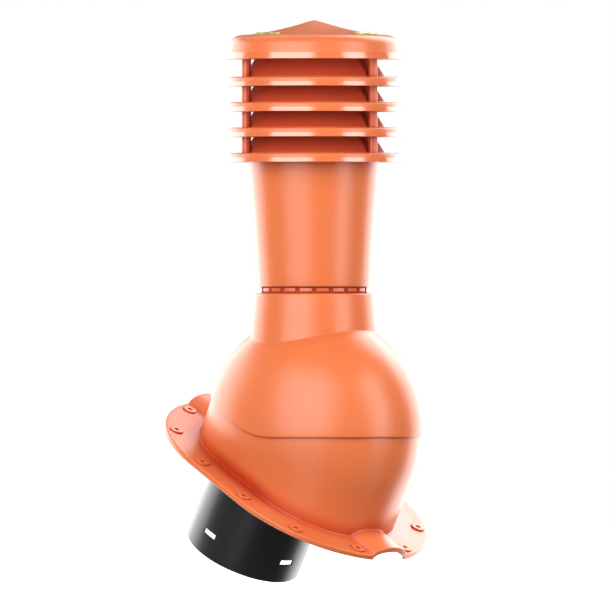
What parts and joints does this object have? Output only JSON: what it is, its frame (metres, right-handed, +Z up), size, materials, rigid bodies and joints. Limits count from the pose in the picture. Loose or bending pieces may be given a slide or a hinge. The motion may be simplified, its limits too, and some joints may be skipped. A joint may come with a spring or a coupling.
{
  "type": "roof vent pipe",
  "caption": "Roof vent pipe: capped louvre rings on a tapered tube, over a ball shell that tilts on a flanged bowl, with a duct pipe below.",
  "frame": {"origin": "centre of the roof opening: on the duct pipe's axis, in the plane of the flange's underside", "axes": "+X level, downhill; +Y level, across the roof; +Z up, along the vent stack. The flange lies in a roof plane of 30 degrees pitch that falls towards +X"},
  "size_m": [0.3539, 0.2908, 0.7159],
  "materials": {
    "terracotta": "satin moulded plastic, terracotta orange",
    "black": "satin moulded plastic, black",
    "vial": "clear tube filled with yellow-green fluid"
  },
  "bodies": {
    "base": {"roof_flange": "terracotta", "duct_pipe": "black"},
    "stack": {"ball_shell": "terracotta", "vent_tube": "terracotta", "louvre_ring_1": "terracotta", "louvre_ring_2": "terracotta", "louvre_ring_3": "terracotta", "louvre_ring_4": "terracotta", "cap": "terracotta", "level_vial_1": "vial", "level_vial_2": "vial"}
  },
  "joints": [
    {"name": "ball_tilt", "type": "hinge", "parent": "base", "child": "stack", "pos_m": [0.06646, 0, 0.04511], "axis": [0, 1, 0], "range_deg": [0, 25]}
  ]
}
